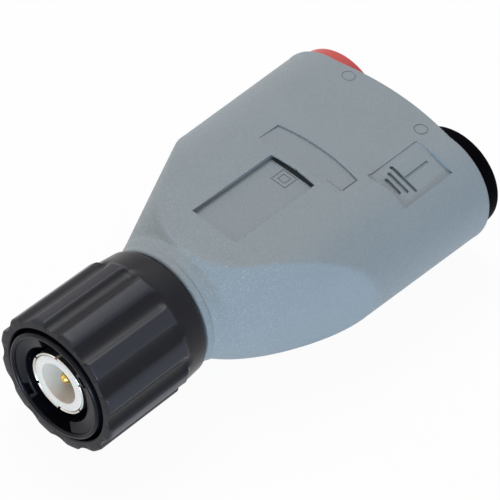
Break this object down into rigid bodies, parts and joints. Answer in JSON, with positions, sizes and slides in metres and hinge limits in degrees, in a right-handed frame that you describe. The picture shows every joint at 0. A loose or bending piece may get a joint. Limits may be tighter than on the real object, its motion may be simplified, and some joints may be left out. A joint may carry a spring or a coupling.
{
  "type": "bayonet plug to twin 4 mm safety socket adapter",
  "caption": "Coaxial bayonet plug on a flared grey housing that ends in two shrouded 4 mm safety sockets, one red and one black.",
  "frame": {"origin": "centre of the outer contact's front face, on the plug's axis", "axes": "+Y from the plug to the sockets, +Z out of the marked top face, +X towards the black socket"},
  "size_m": [0.0342, 0.0613, 0.0178],
  "materials": {
    "housing_grey": "fine spark-eroded grain, semi-matt",
    "sleeve_black": "satin moulded plastic",
    "ring_black": "semi-gloss moulded plastic",
    "nickel": "turned and nickel plated",
    "insulator_white": "waxy white",
    "gold": "gold plated",
    "gasket_rubber": "matt rubber",
    "spring_steel": "bright spring steel",
    "socket_red": "satin moulded plastic",
    "socket_black": "satin moulded plastic",
    "wire_red": "extruded insulation",
    "wire_black": "extruded insulation",
    "shrink_sleeve": "shrunk tubing"
  },
  "bodies": {
    "adapter_body": {"housing_shell": "housing_grey", "end_plate": "housing_grey", "plug_body": "nickel", "outer_contact": "nickel", "dielectric": "insulator_white", "centre_pin": "gold", "gasket": "gasket_rubber", "wave_spring": "spring_steel", "retaining_ring": "spring_steel", "rear_insulator": "insulator_white", "ground_lug": "nickel", "lock_nut": "nickel", "socket_body_red": "socket_red", "socket_body_black": "socket_black", "contact_red": "nickel", "contact_black": "nickel", "push_ring_red": "spring_steel", "push_ring_black": "spring_steel", "wire_red": "wire_red", "wire_black": "wire_black", "shrink_pin": "shrink_sleeve", "shrink_red": "shrink_sleeve", "shrink_black": "shrink_sleeve"},
    "spring_carriage": {"thrust_washer": "spring_steel"},
    "coupling": {"coupling_sleeve": "sleeve_black", "bayonet_ring": "ring_black"}
  },
  "joints": [
    {"name": "coupling_slide", "type": "slide", "parent": "adapter_body", "child": "spring_carriage", "axis": [0, -1, 0], "range_m": [0, 0.0007], "stiffness_N_per_m": 5000, "deforming": ["wave_spring"]},
    {"name": "coupling_spin", "type": "hinge", "parent": "spring_carriage", "child": "coupling", "pos_m": [0, 0, 0], "axis": [0, 1, 0], "continuous": true}
  ]
}
